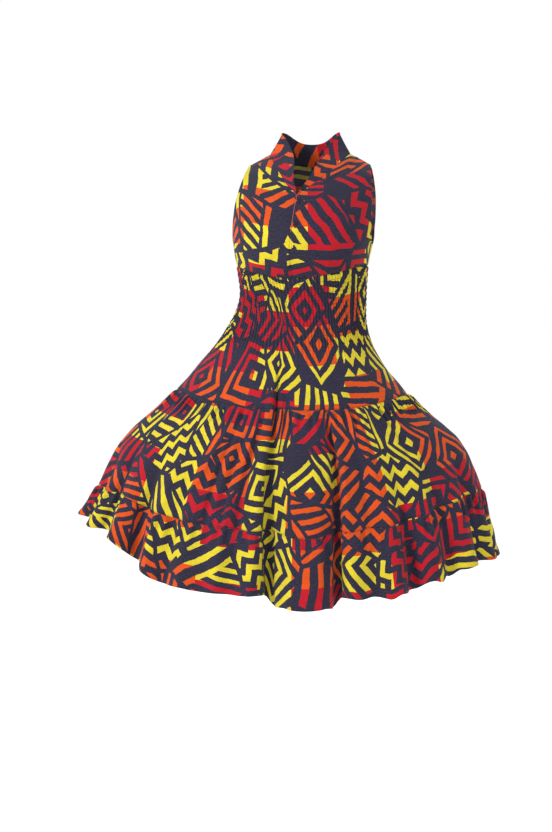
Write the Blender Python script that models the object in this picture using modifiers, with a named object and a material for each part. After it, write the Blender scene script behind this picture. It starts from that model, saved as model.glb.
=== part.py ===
"""Sleeveless smock dress in printed cotton, as worn, with its skirt held out to both sides.

Metres, +Z up. The front faces -Y and the wearer's left is +X.
The origin is where the shoulders carry the dress: midway between the middles of the two
shoulder seams.
"""

import math
from collections import namedtuple
from functools import lru_cache

import bmesh
import bpy
import numpy as np
from mathutils import Matrix, Vector
from mathutils.bvhtree import BVHTree

# Driving sizes
WALL = 0.0015
SEAM_GAP = 0.0004
TORSO_ROUNDNESS = 0.87
BODY_CENTRE_Y = 0.005

# The wearer stands turned a little to the right, less so towards the skirt.
# turn is in degrees, lean is the sideways place of the body's centre, and slide is how far
# the front opening lies to the wearer's right of the middle.
Pose = namedtuple("Pose", "z turn lean slide")
POSES = [
    Pose(-0.560, 0.0, 0.0000, 0.000),
    Pose(-0.440, 2.5, -0.0030, 0.000),
    Pose(-0.300, 6.0, -0.0050, 0.006),
    Pose(-0.200, 7.5, -0.0055, 0.011),
    Pose(-0.120, 7.5, 0.0000, 0.010),
    Pose(-0.060, 7.0, 0.0060, 0.007),
    Pose(0.000, 6.5, 0.0100, 0.003),
    Pose(0.080, 6.0, 0.0120, 0.000),
]
SLIDE_HALF_WIDTH = 0.150
SLIDE_DEPTH = 0.100

# Plain stand-in colours and roughness
CLOTH_COLOUR = (0.045, 0.040, 0.065)
CLOTH_ROUGHNESS = 0.75
PLASTIC_COLOUR = (0.010, 0.010, 0.022)
PLASTIC_ROUGHNESS = 0.2

# Buttons on the wearer's left front. Their places are shares of the way up the bodice.
BUTTON_DIAMETER = 0.0115
BUTTON_RIM = 0.0014
BUTTON_CROWN = 0.0019
BUTTON_SIDES = 18
BUTTON_SEAT = 0.00035
BUTTON_SHARES = [0.478, 0.358, 0.226]
BUTTON_FROM_EDGE = 0.0088
BUTTON_BACK_SHARE = 0.96
CROWN_ANGLES = [math.radians(angle) for angle in (0, 25, 48, 68, 90)]

# The slit that the buttons close
SLIT_BOTTOM_Z = -0.222
SLIT_SPREAD = 0.05
SLIT_HALF_WIDTH = 0.0006

# Drops down the front from the under-bust seam to each seam below it
TIER_ONE_DROP = 0.281
TIER_TWO_DROP = 0.566
HEM_DROP = 0.722

# Horizontal sections of the skirt, a row for each level.
# z is given at the front, the back and each side; half widths and depths from the centre.
# lift bends the seam up towards the sides, and pinch draws the sides to an edge.
Section = namedtuple(
    "Section",
    "drop z_front z_back z_left z_right half_left half_right depth_front depth_back round_x pinch lift",
)
SECTIONS = [
    Section(0.000, -0.265, -0.246, -0.233, -0.233, 0.143, 0.143, 0.124, 0.105, 0.87, 0.87, 1.74),
    Section(0.062, -0.328, -0.312, -0.300, -0.300, 0.138, 0.138, 0.110, 0.096, 0.89, 0.89, 1.80),
    Section(0.147, -0.414, -0.400, -0.382, -0.382, 0.143, 0.176, 0.116, 0.122, 0.94, 0.96, 2.00),
    Section(0.210, -0.477, -0.466, -0.447, -0.444, 0.174, 0.227, 0.138, 0.156, 0.98, 1.04, 2.20),
    Section(0.281, -0.545, -0.536, -0.512, -0.503, 0.226, 0.281, 0.164, 0.182, 1.00, 1.10, 2.40),
    Section(0.450, -0.698, -0.692, -0.626, -0.616, 0.348, 0.404, 0.200, 0.214, 1.00, 1.28, 2.20),
    Section(0.566, -0.806, -0.800, -0.722, -0.714, 0.390, 0.457, 0.222, 0.230, 1.00, 1.24, 2.05),
    Section(0.722, -0.948, -0.942, -0.865, -0.776, 0.430, 0.500, 0.252, 0.256, 1.00, 1.16, 2.65),
]

# Folds of the skirt: valleys pushed in between the flutes, deepest at the hem.
# around is in degrees from the front, positive to the wearer's left.
Fold = namedtuple("Fold", "around half_width depth rise start")
FOLDS = [
    Fold(-9.0, 5.5, 0.046, 0.012, 0.150),
    Fold(8.9, 5.2, 0.036, 0.010, 0.220),
    Fold(-0.3, 13.0, -0.003, -0.011, 0.400),
    Fold(52.0, 24.0, 0.000, 0.016, 0.450),
    Fold(-18.0, 13.0, 0.000, 0.013, 0.450),
    Fold(-57.0, 8.0, 0.000, 0.016, 0.450),
    Fold(14.0, 8.0, 0.000, 0.006, 0.450),
    Fold(20.0, 6.0, 0.014, 0.010, 0.320),
    Fold(33.6, 6.0, 0.028, 0.006, 0.360),
    Fold(48.0, 7.0, 0.020, 0.006, 0.400),
    Fold(66.0, 8.0, 0.020, 0.003, 0.340),
    Fold(-19.0, 5.0, 0.018, -0.002, 0.240),
    Fold(-27.5, 6.0, 0.014, 0.000, 0.260),
    Fold(-38.5, 5.5, 0.016, 0.000, 0.360),
    Fold(-49.8, 6.0, 0.036, -0.004, 0.380),
    Fold(-64.0, 7.0, 0.028, 0.010, 0.400),
    Fold(-78.0, 6.5, 0.020, 0.000, 0.420),
    Fold(101.0, 8.0, 0.022, 0.000, 0.360),
    Fold(119.0, 8.0, 0.032, 0.006, 0.300),
    Fold(136.0, 7.5, 0.028, 0.000, 0.240),
    Fold(153.0, 8.0, 0.038, 0.008, 0.190),
    Fold(171.0, 7.0, 0.032, 0.004, 0.170),
    Fold(-173.0, 7.0, 0.034, 0.004, 0.180),
    Fold(-156.0, 7.5, 0.036, 0.008, 0.210),
    Fold(-138.0, 8.0, 0.028, 0.000, 0.260),
    Fold(-120.0, 8.0, 0.032, 0.006, 0.310),
    Fold(-102.0, 8.0, 0.022, 0.000, 0.380),
]
FOLD_GROWTH = 1.15

# Gathers under a seam: how many go round, how proud they stand and where they fade out
Gather = namedtuple("Gather", "count height seam crest fade")
GATHERS = [
    Gather(30, 0.0026, TIER_ONE_DROP, 0.030, 0.130),
    Gather(40, 0.0026, TIER_TWO_DROP, 0.024, 0.110),
]

# Smocking of the midriff: upright ribs drawn in at each row of elastic
SMOCK_DEPTH = 0.124
SMOCK_BANDS = 4
SMOCK_PINCH = 0.4

# The front and back of the skirt, by the angles of their side seams
Side = namedtuple("Side", "name start end smock_height")
SIDES = [
    Side("front", -90.0, 90.0, 0.0013),
    Side("back", 90.0, 270.0, 0.0020),
]

# Bodice levels from the under-bust seam up to the shoulder seam, a row for each.
# inner is the half width at the neckline or centre, outer at the side seam or armhole.
Level = namedtuple("Level", "z_centre z_side half_width depth inner outer")
FRONT_LEVELS = [
    Level(-0.2650, -0.2330, 0.143, 0.124, 0.0, 0.143),
    Level(-0.2330, -0.2100, 0.148, 0.137, 0.0, 0.148),
    Level(-0.1950, -0.1870, 0.152, 0.143, 0.0, 0.152),
    Level(-0.1450, -0.1500, 0.158, 0.138, 0.0, 0.151),
    Level(-0.0930, -0.1100, 0.163, 0.120, 0.0, 0.149),
    Level(-0.0580, -0.0780, 0.163, 0.097, 0.033, 0.145),
    Level(-0.0240, -0.0520, 0.162, 0.064, 0.060, 0.140),
    Level(0.0100, -0.0340, 0.154, 0.027, 0.079, 0.136),
    Level(0.0299, -0.0180, 0.140, 0.000, 0.089, 0.133),
]
BACK_LEVELS = [
    Level(-0.2460, -0.2330, 0.143, 0.105, 0.0, 0.143),
    Level(-0.2150, -0.2100, 0.148, 0.110, 0.0, 0.148),
    Level(-0.1870, -0.1870, 0.152, 0.114, 0.0, 0.152),
    Level(-0.1430, -0.1500, 0.158, 0.117, 0.0, 0.151),
    Level(-0.0980, -0.1100, 0.163, 0.116, 0.0, 0.149),
    Level(-0.0560, -0.0780, 0.165, 0.104, 0.0, 0.145),
    Level(-0.0170, -0.0540, 0.165, 0.078, 0.0, 0.140),
    Level(0.0130, -0.0340, 0.157, 0.038, 0.0, 0.136),
    Level(0.0299, -0.0180, 0.140, 0.000, 0.0, 0.133),
]
FRONT = -1
BACK = 1
V_SHARE = 0.5
BACK_NECK_SHARE = 0.78
BACK_NECK_SCOOP = 2.2

# The collar along half the neckline, from the point of the V (0) to the centre back (1).
# lean is in degrees from upright, towards the neck.
Stand = namedtuple("Stand", "along height lean")
COLLAR = [
    Stand(0.00, 0.009, 5.0),
    Stand(0.20, 0.026, 58.0),
    Stand(0.38, 0.040, 65.0),
    Stand(0.54, 0.046, 54.0),
    Stand(0.62, 0.051, 27.0),
    Stand(0.80, 0.050, 20.0),
    Stand(1.00, 0.048, 18.0),
]

# Rows and columns of faces. A fold has columns at these shares of its half width.
FOLD_MARKS = [0.0, -1.0, 1.0, -0.5, 0.5]
TIER_ONE_ROWS = 3
TIER_TWO_ROWS = 6
TIER_THREE_ROWS = 4
LEAST_COLUMN = 1.2
WIDEST_COLUMN = 4.5
BODICE_COLUMNS = 13
NECK_ROWS = 8
BELOW_NECK_ROWS = 4
BACK_ROWS = 8
BACK_NECK_COLUMNS = 7
BACK_SHOULDER_COLUMNS = 6
COLLAR_ROWS = 3

# Finite steps used to find a surface's slope: degrees, metres and shares of a panel
SLOPE_DEGREES = 1.0
SLOPE_DROP = 0.004
SLOPE_SHARE = 0.01
SHARP_DEGREES = 50
TINY = 0.00001


def clear_scene():
    for old in list(bpy.data.objects):
        bpy.data.objects.remove(old, do_unlink=True)


def make_material(name, colour, roughness):
    material = bpy.data.materials.new(name)
    material.use_nodes = True
    shader = material.node_tree.nodes["Principled BSDF"]
    shader.inputs["Base Color"].default_value = (*colour, 1.0)
    shader.inputs["Roughness"].default_value = roughness
    shader.inputs["Metallic"].default_value = 0.0
    return material


def unit(vectors):
    return vectors / np.linalg.norm(vectors, axis=-1, keepdims=True)


def smooth_read(keys, values, at):
    """A smooth curve through the values, read at one key (cubic, with averaged slopes)."""
    keys = np.asarray(keys, float)
    values = np.asarray(values, float)
    slopes = np.gradient(values, keys, axis=0)
    at = min(max(at, keys[0]), keys[-1])
    span = min(int(np.searchsorted(keys, at, side="right")) - 1, len(keys) - 2)
    width = keys[span + 1] - keys[span]
    t = (at - keys[span]) / width
    return (
        (2 * t**3 - 3 * t**2 + 1) * values[span]
        + (t**3 - 2 * t**2 + t) * width * slopes[span]
        + (3 * t**2 - 2 * t**3) * values[span + 1]
        + (t**3 - t**2) * width * slopes[span + 1]
    )


def ease(value, start, full):
    """0 before start, 1 after full, and a smooth rise between."""
    share = min(max((value - start) / (full - start), 0.0), 1.0)
    return share * share * (3 - 2 * share)


def bump(distance, half_width):
    """1 at the middle, falling smoothly to 0 at half_width."""
    share = min(abs(distance) / half_width, 1.0)
    return 0.5 + 0.5 * math.cos(math.pi * share)


def power(value, exponent):
    """A power that keeps the sign, for rounded and pinched outlines."""
    return math.copysign(abs(value) ** exponent, value)


def angle_between(around, other):
    return (around - other + 180.0) % 360.0 - 180.0


@lru_cache(maxsize=None)
def section_at(drop):
    return Section(*smooth_read([row.drop for row in SECTIONS], SECTIONS, drop))


def plain_tube_point(drop, around):
    """A point of the skirt before its folds. around is in degrees from the front."""
    row = section_at(drop)
    sine = math.sin(math.radians(around))
    cosine = math.cos(math.radians(around))
    half = row.half_left if sine > 0 else row.half_right
    depth = row.depth_front if cosine > 0 else row.depth_back
    z_centre = row.z_front if cosine > 0 else row.z_back
    z_side = row.z_left if sine > 0 else row.z_right
    return np.array(
        [
            half * power(sine, row.round_x),
            BODY_CENTRE_Y - depth * power(cosine, row.pinch),
            z_centre + (z_side - z_centre) * abs(sine) ** row.lift,
        ]
    )


def outward(drop, around):
    """The level direction that points straight out of the plain skirt."""
    ahead = plain_tube_point(drop, around + SLOPE_DEGREES)
    behind = plain_tube_point(drop, around - SLOPE_DEGREES)
    run = ahead - behind
    return unit(np.array([run[1], -run[0], 0.0]))


def fold_depth(drop, around):
    """How far in the folds push a point, and how far they raise it."""
    inward = 0.0
    rise = 0.0
    for fold in FOLDS:
        share = bump(angle_between(around, fold.around), fold.half_width)
        share *= max((drop - fold.start) / (HEM_DROP - fold.start), 0.0) ** FOLD_GROWTH
        inward += fold.depth * share
        rise += fold.rise * share
    return inward, rise


def gather_height(drop, around):
    """How proud the gathers stand just under the seam that holds them."""
    height = 0.0
    for gather in GATHERS:
        below = drop - gather.seam
        share = ease(below, 0.0, gather.crest) * (1 - ease(below, gather.crest, gather.fade))
        height += gather.height * share * math.cos(math.radians(around * gather.count))
    return height


@lru_cache(maxsize=None)
def tube_point(drop, around):
    inward, rise = fold_depth(drop, around)
    point = plain_tube_point(drop, around)
    point = point + outward(drop, around) * (gather_height(drop, around) - inward)
    point[2] += rise
    return point


def tube_slopes(drop, around):
    """Unit steps along the row, to the wearer's left at the front, and down the panel."""
    across = tube_point(drop, around + SLOPE_DEGREES) - tube_point(drop, around - SLOPE_DEGREES)
    down = tube_point(drop + SLOPE_DROP, around) - tube_point(drop - SLOPE_DROP, around)
    return unit(across), unit(down)


def tube_normal(drop, around):
    across, down = tube_slopes(drop, around)
    return unit(np.cross(down, across))


def bodice_level(levels, share):
    """The bodice row at a share of the way up, from 0 at the under-bust seam to 1."""
    keys = np.linspace(0.0, 1.0, len(levels))
    return Level(*smooth_read(keys, levels, share))


def torso_angle(row, half):
    """The angle round the torso's rounded outline at which it is half this wide."""
    return math.asin(min(max(half, 0.0) / row.half_width, 1.0) ** (1 / TORSO_ROUNDNESS))


def bodice_point(levels, facing, share, across):
    """A point of the wearer's left half. across runs from the neckline edge (0) to the arm."""
    row = bodice_level(levels, share)
    angle_in = torso_angle(row, row.inner)
    angle_out = torso_angle(row, row.outer)
    angle = angle_in + (angle_out - angle_in) * across
    sine = power(math.sin(angle), TORSO_ROUNDNESS)
    cosine = power(math.cos(angle), TORSO_ROUNDNESS)
    return np.array(
        [
            row.half_width * sine,
            BODY_CENTRE_Y + facing * row.depth * cosine,
            row.z_centre + (row.z_side - row.z_centre) * sine * sine,
        ]
    )


def bodice_slopes(levels, facing, share, across):
    """Unit steps along the row, away from the centre, and down the panel."""
    low, high = max(share - SLOPE_SHARE, 0.0), min(share + SLOPE_SHARE, 1.0)
    near, far = max(across - SLOPE_SHARE, 0.0), min(across + SLOPE_SHARE, 1.0)
    along = bodice_point(levels, facing, share, far) - bodice_point(levels, facing, share, near)
    down = bodice_point(levels, facing, low, across) - bodice_point(levels, facing, high, across)
    return unit(along), unit(down)


def bodice_normal(levels, facing, share, across):
    """The outward direction, mitred at the shoulder, side and centre seams."""
    along, down = bodice_slopes(levels, facing, share, across)
    normal = np.cross(down, along) * -facing
    row = bodice_level(levels, share)
    at_side = across == 1.0 and row.outer >= row.half_width - TINY
    if share == 1.0 or at_side:
        normal[1] = 0.0
    if across == 0.0 and row.inner <= TINY:
        normal[0] = 0.0
    return unit(normal)


def posed(point):
    """Turns and leans a point from the squarely built dress into the worn pose."""
    pose = Pose(*smooth_read([row.z for row in POSES], POSES, point[2]))
    turn = math.radians(-pose.turn)
    middle = max(1 - (point[0] / SLIDE_HALF_WIDTH) ** 2, 0.0)
    square = point[0] - pose.slide * middle * ease(-point[1], 0.0, SLIDE_DEPTH)
    x = pose.lean + square * math.cos(turn) - point[1] * math.sin(turn)
    y = square * math.sin(turn) + point[1] * math.cos(turn)
    return Vector((x, y, point[2]))


def finish(name, mesh, material):
    """Poses a mesh built square and puts it into the dress as a named object."""
    for vertex in mesh.verts:
        vertex.co = posed(vertex.co)
    bmesh.ops.recalc_face_normals(mesh, faces=mesh.faces)
    data = bpy.data.meshes.new(name)
    mesh.to_mesh(data)
    mesh.free()
    data.materials.append(material)
    data.shade_smooth()
    data.set_sharp_from_angle(angle=math.radians(SHARP_DEGREES))
    node = bpy.data.objects.new(name, data)
    dress.objects.link(node)
    return node


def cloth_wall(outer, normals, raised=None, joined_rows=()):
    """The mesh of a closed wall, lofted from a grid of outer points and the directions out.

    Panels that meet share their directions there, so that their walls end in a mitre.
    raised, a grid of heights, stands the outer points proud over a plain inside.
    joined_rows are the rows whose first column is left open, for the half mirrored there.
    """
    rows, columns = outer.shape[:2]
    inner = outer - normals * WALL
    if raised is not None:
        outer = outer + normals * raised[..., None]
    mesh = bmesh.new()
    outside = [[mesh.verts.new(point) for point in row] for row in outer]
    inside = [[mesh.verts.new(point) for point in row] for row in inner]
    for i in range(rows - 1):
        for j in range(columns - 1):
            mesh.faces.new((outside[i][j], outside[i + 1][j], outside[i + 1][j + 1], outside[i][j + 1]))
            mesh.faces.new((inside[i][j], inside[i][j + 1], inside[i + 1][j + 1], inside[i + 1][j]))
    rim = [(0, j) for j in range(columns)]
    rim += [(i, columns - 1) for i in range(1, rows)]
    rim += [(rows - 1, j) for j in range(columns - 2, -1, -1)]
    rim += [(i, 0) for i in range(rows - 2, 0, -1)]
    for (i, j), (k, m) in zip(rim, rim[1:] + rim[:1]):
        if j == 0 and m == 0 and i in joined_rows and k in joined_rows:
            continue
        mesh.faces.new((outside[i][j], outside[k][m], inside[k][m], inside[i][j]))
    return mesh


def pull_in_edges(outer, along, down):
    """Moves the edge points half a seam gap into their own panel."""
    half_gap = SEAM_GAP / 2
    pulled = outer.copy()
    pulled[0] += down[0] * half_gap
    pulled[-1] -= down[-1] * half_gap
    pulled[:, 0] += along[:, 0] * half_gap
    pulled[:, -1] -= along[:, -1] * half_gap
    return pulled


def skirt_panel(name, drops, around_rows, material, rise=None):
    """A panel of the skirt between two seams and the two side seams.

    around_rows has the angles of a row's columns, for each drop.
    """
    cells = [[(drop, around) for around in row] for drop, row in zip(drops, around_rows)]
    outer = np.array([[tube_point(*cell) for cell in row] for row in cells])
    normals = np.array([[tube_normal(*cell) for cell in row] for row in cells])
    slopes = np.array([[tube_slopes(*cell) for cell in row] for row in cells])
    outer = pull_in_edges(outer, slopes[:, :, 0], slopes[:, :, 1])
    raised = None
    if rise is not None:
        raised = np.array([[rise(i, j) for j in range(len(row))] for i, row in enumerate(cells)])
    finish(name, cloth_wall(outer, normals, raised), material)


def smocking(height):
    """Heights of the ribs: every second column stands up, most of all between elastics."""

    def rise(row, column):
        if column % 2 == 0 or row == 0 or row >= 2 * SMOCK_BANDS:
            return 0.0
        between_elastics = row % 2 == 1
        return height if between_elastics else height * SMOCK_PINCH

    return rise


def column_angles(start, end):
    """Columns on the bottom, the flanks and the shoulders of each fold, and between them."""
    middle = (start + end) / 2
    marks = []
    for share in FOLD_MARKS:
        for fold in FOLDS:
            mark = middle + angle_between(fold.around + share * fold.half_width, middle)
            inside = start + LEAST_COLUMN < mark < end - LEAST_COLUMN
            if inside and all(abs(mark - other) > LEAST_COLUMN for other in marks):
                marks.append(mark)
    marks = [start] + sorted(marks) + [end]
    angles = [start]
    for left, right in zip(marks, marks[1:]):
        steps = math.ceil((right - left) / WIDEST_COLUMN)
        angles += [left + (right - left) * (k + 1) / steps for k in range(steps)]
    return angles


def make_skirt(cloth):
    smocked = np.linspace(0.0, SMOCK_DEPTH, 2 * SMOCK_BANDS + 1)
    loose = np.linspace(SMOCK_DEPTH, TIER_ONE_DROP, TIER_ONE_ROWS + 1)[1:]
    tier_one = np.concatenate([smocked, loose])
    tier_two = np.linspace(TIER_ONE_DROP, TIER_TWO_DROP, TIER_TWO_ROWS + 1)
    tier_three = np.linspace(TIER_TWO_DROP, HEM_DROP, TIER_THREE_ROWS + 1)
    for side in SIDES:
        folds = np.array(column_angles(side.start, side.end))
        ribs = np.linspace(side.start, side.end, len(folds))
        settled = [ease(drop, SMOCK_DEPTH, TIER_ONE_DROP) for drop in tier_one]
        one = [ribs + (folds - ribs) * share for share in settled]
        skirt_panel("tier_one_" + side.name, tier_one, one, cloth, smocking(side.smock_height))
        skirt_panel("tier_two_" + side.name, tier_two, [folds] * len(tier_two), cloth)
        skirt_panel("tier_three_" + side.name, tier_three, [folds] * len(tier_three), cloth)


def bodice_grid(levels, facing, shares, acrosses):
    """Outer points and directions of the wearer's left half, shoulder first, centre first.

    shares has a row of shares of the way up for each row of the grid.
    """
    cells = [[(levels, facing, share, across) for share, across in zip(row, acrosses)] for row in shares]
    points = np.array([[bodice_point(*cell) for cell in row] for row in cells])
    normals = np.array([[bodice_normal(*cell) for cell in row] for row in cells])
    slopes = np.array([[bodice_slopes(*cell) for cell in row] for row in cells])
    return points, normals, slopes[:, :, 0], slopes[:, :, 1]


def mirrored(grid):
    return grid * np.array([-1.0, 1.0, 1.0])


def slit_gap(point):
    """Half the opening at a point of the centre front edge, where the buttons close it."""
    if point[0] > SEAM_GAP:
        return 0.0
    return SLIT_HALF_WIDTH * ease(point[2], SLIT_BOTTOM_Z, SLIT_BOTTOM_Z + SLIT_SPREAD)


def front_shares():
    """Rows of the bodice front: fine beside the neckline, coarser below it."""
    beside = np.linspace(1.0, V_SHARE, NECK_ROWS + 1)
    below = np.linspace(V_SHARE, 0.0, BELOW_NECK_ROWS + 1)[1:]
    return np.concatenate([beside, below])


def back_neck_across():
    """Where the back's shoulder seam starts, to meet the front's."""
    top = BACK_LEVELS[-1]
    return torso_angle(top, FRONT_LEVELS[-1].inner) / torso_angle(top, top.outer)


def back_top_share(across, neck):
    """How far up the back reaches: the scooped neckline, then the shoulder seam."""
    scoop = 1 - min(across / neck, 1.0) ** BACK_NECK_SCOOP
    return 1 - (1 - BACK_NECK_SHARE) * scoop


def make_bodice_fronts(cloth):
    acrosses = np.linspace(0.0, 1.0, BODICE_COLUMNS + 1)
    shares = np.outer(front_shares(), np.ones(len(acrosses)))
    points, normals, along, down = bodice_grid(FRONT_LEVELS, FRONT, shares, acrosses)
    outer = pull_in_edges(points, along, down)
    for row in outer:
        row[0, 0] += slit_gap(row[0])
    left = finish("bodice_front_left", cloth_wall(outer, normals), cloth)
    finish("bodice_front_right", cloth_wall(mirrored(outer), mirrored(normals)), cloth)
    return left, points[: NECK_ROWS + 1, 0], normals[: NECK_ROWS + 1, 0]


def make_bodice_back(cloth):
    """One piece: a left half, mirrored and joined along the centre back."""
    neck = back_neck_across()
    below_neck = np.linspace(0.0, neck, BACK_NECK_COLUMNS + 1)
    below_shoulder = np.linspace(neck, 1.0, BACK_SHOULDER_COLUMNS + 1)[1:]
    acrosses = np.concatenate([below_neck, below_shoulder])
    tops = [back_top_share(across, neck) for across in acrosses]
    shares = np.outer(np.linspace(1.0, 0.0, BACK_ROWS + 1), tops)
    points, normals, along, down = bodice_grid(BACK_LEVELS, BACK, shares, acrosses)
    outer = pull_in_edges(points, along, down)
    outer[:, 0, 0] = 0.0
    half = cloth_wall(outer, normals, joined_rows=range(BACK_ROWS + 1))
    whole = half.verts[:] + half.edges[:] + half.faces[:]
    bmesh.ops.mirror(half, geom=whole, axis="X", merge_dist=TINY)
    finish("bodice_back", half, cloth)
    return points[0, BACK_NECK_COLUMNS::-1], normals[0, BACK_NECK_COLUMNS::-1]


def collar_half(seam, seam_normals):
    """Grid of the wearer's left half, from the point of the V round to the centre back."""
    steps = np.linalg.norm(np.diff(seam, axis=0), axis=1)
    alongs = np.concatenate([[0.0], np.cumsum(steps)]) / steps.sum()
    grid = []
    directions = []
    for i, (point, seam_normal) in enumerate(zip(seam, seam_normals)):
        stand = Stand(*smooth_read([row.along for row in COLLAR], COLLAR, alongs[i]))
        inward = unit(np.array([-max(point[0], TINY), -max(point[1] - BODY_CENTRE_Y, 0.0), 0.0]))
        lean = math.radians(stand.lean)
        up = inward * math.sin(lean) + np.array([0.0, 0.0, math.cos(lean)])
        run = seam[min(i + 1, len(seam) - 1)] - seam[max(i - 1, 0)]
        normal = unit(np.cross(run, up))
        if i == len(seam) - 1:
            normal = unit(normal * np.array([0.0, 1.0, 1.0]))
        reach = np.linspace(SEAM_GAP, stand.height, COLLAR_ROWS + 1)
        grid.append([point + up * step for step in reach])
        directions.append([seam_normal] + [normal] * COLLAR_ROWS)
    return np.array(grid), np.array(directions)


def make_collar(cloth, front_seam, front_normals, back_seam, back_normals):
    seam = np.concatenate([front_seam[::-1], back_seam[1:]])
    seam_normals = np.concatenate([front_normals[::-1], back_normals[1:]])
    grid, directions = collar_half(seam, seam_normals)
    grid[0, :, 0] += SEAM_GAP / 2 + SLIT_HALF_WIDTH
    whole = np.concatenate([grid, mirrored(grid)[-2::-1]])
    whole_directions = np.concatenate([directions, mirrored(directions)[-2::-1]])
    finish("collar", cloth_wall(whole, whole_directions), cloth)


def button_mesh(plastic):
    """A profile from the middle of the crown, over the rim, to the middle of the flat back."""
    radius = BUTTON_DIAMETER / 2
    profile = [(radius * math.sin(t), BUTTON_RIM + BUTTON_CROWN * math.cos(t)) for t in CROWN_ANGLES]
    profile += [(radius * BUTTON_BACK_SHARE, 0.0), (0.0, 0.0)]
    data = bpy.data.meshes.new("button")
    points = [(x, 0.0, z) for x, z in profile]
    data.from_pydata(points, [(i, i + 1) for i in range(len(points) - 1)], [])
    data.materials.append(plastic)
    return data


def seat_on(cloth_tree, spot, data, name):
    """Puts a button on the cloth, square to it, with its whole back just clear."""
    place, normal, _, _ = cloth_tree.find_nearest(spot)
    turn = normal.to_track_quat("Z", "Y")
    button = bpy.data.objects.new(name, data)
    dress.objects.link(button)
    turned = button.modifiers.new("turned", "SCREW")
    turned.steps = BUTTON_SIDES
    turned.render_steps = BUTTON_SIDES
    turned.use_merge_vertices = True
    turned.merge_threshold = TINY
    clearances = []
    for i in range(BUTTON_SIDES):
        angle = math.tau * i / BUTTON_SIDES
        rim = place + turn @ Vector((math.cos(angle), math.sin(angle), 0.0)) * (BUTTON_DIAMETER / 2)
        nearest, _, _, _ = cloth_tree.find_nearest(rim)
        clearances.append((rim - nearest).dot(normal))
    lift = BUTTON_SEAT - min(min(clearances), 0.0)
    button.matrix_world = Matrix.Translation(place + normal * lift) @ turn.to_matrix().to_4x4()


def make_buttons(plastic, front_left):
    bpy.context.view_layer.update()
    tree = BVHTree.FromObject(front_left, bpy.context.evaluated_depsgraph_get())
    data = button_mesh(plastic)
    for i, share in enumerate(BUTTON_SHARES):
        row = bodice_level(FRONT_LEVELS, share)
        across = torso_angle(row, BUTTON_FROM_EDGE) / torso_angle(row, row.outer)
        spot = posed(bodice_point(FRONT_LEVELS, FRONT, share, across))
        seat_on(tree, spot, data, "button_" + str(i + 1))


def main():
    cloth = make_material("printed_cotton", CLOTH_COLOUR, CLOTH_ROUGHNESS)
    plastic = make_material("button_plastic", PLASTIC_COLOUR, PLASTIC_ROUGHNESS)
    make_skirt(cloth)
    front_left, front_seam, front_normals = make_bodice_fronts(cloth)
    back_seam, back_normals = make_bodice_back(cloth)
    make_collar(cloth, front_seam, front_normals, back_seam, back_normals)
    make_buttons(plastic, front_left)


clear_scene()
dress = bpy.data.collections.new("smock_dress")
bpy.context.scene.collection.children.link(dress)
main()
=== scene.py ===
# Sleeveless smock dress in printed cotton, in its worn shape with nobody in it.
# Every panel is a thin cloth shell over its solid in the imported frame.
# Metres, +Z up, the front faces -Y and the wearer's left is +X.
import math

import bpy
import numpy as np
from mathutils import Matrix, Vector


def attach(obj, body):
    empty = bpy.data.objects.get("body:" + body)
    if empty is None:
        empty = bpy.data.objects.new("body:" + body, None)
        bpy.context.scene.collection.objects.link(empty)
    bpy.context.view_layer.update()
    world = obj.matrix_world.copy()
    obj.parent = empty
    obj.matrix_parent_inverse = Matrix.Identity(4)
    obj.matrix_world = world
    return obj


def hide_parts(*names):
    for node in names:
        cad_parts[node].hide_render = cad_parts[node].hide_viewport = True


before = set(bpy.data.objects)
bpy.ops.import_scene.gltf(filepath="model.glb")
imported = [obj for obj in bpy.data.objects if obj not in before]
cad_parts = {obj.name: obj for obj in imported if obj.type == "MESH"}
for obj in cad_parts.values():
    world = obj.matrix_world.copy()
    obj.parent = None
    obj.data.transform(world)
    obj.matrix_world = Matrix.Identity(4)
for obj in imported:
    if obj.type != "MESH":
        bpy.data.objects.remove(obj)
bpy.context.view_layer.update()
print("frame loaded")

# The worn form that all panels share, the same as the solids'.
form = {
    "centreY": 0.005,
    "roundness": 0.87,          # of the torso's outline, 1 is an ellipse
    "smockDrop": 0.124,         # drops are metres down the front from the under-bust seam
    "tierOneDrop": 0.281,
    "tierTwoDrop": 0.566,
    "hemDrop": 0.722,
    "foldGrowth": 1.15,
    "clothThickness": 0.0007,   # a light woven cotton, drawn about twice as thick as it is
}

# The body turns a little to its right, less so towards the skirt.
poseTable = {
    "z": [-0.560, -0.440, -0.300, -0.200, -0.120, -0.060, 0.000, 0.080],
    "turn": [0.0, 2.5, 6.0, 7.5, 7.5, 7.0, 6.5, 6.0],
    "lean": [0.0, -0.003, -0.005, -0.0055, 0.0, 0.006, 0.010, 0.012],
    "slide": [0.0, 0.0, 0.006, 0.011, 0.010, 0.007, 0.003, 0.0],
}
slideHalfWidth = 0.150
slideDepth = 0.100

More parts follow.
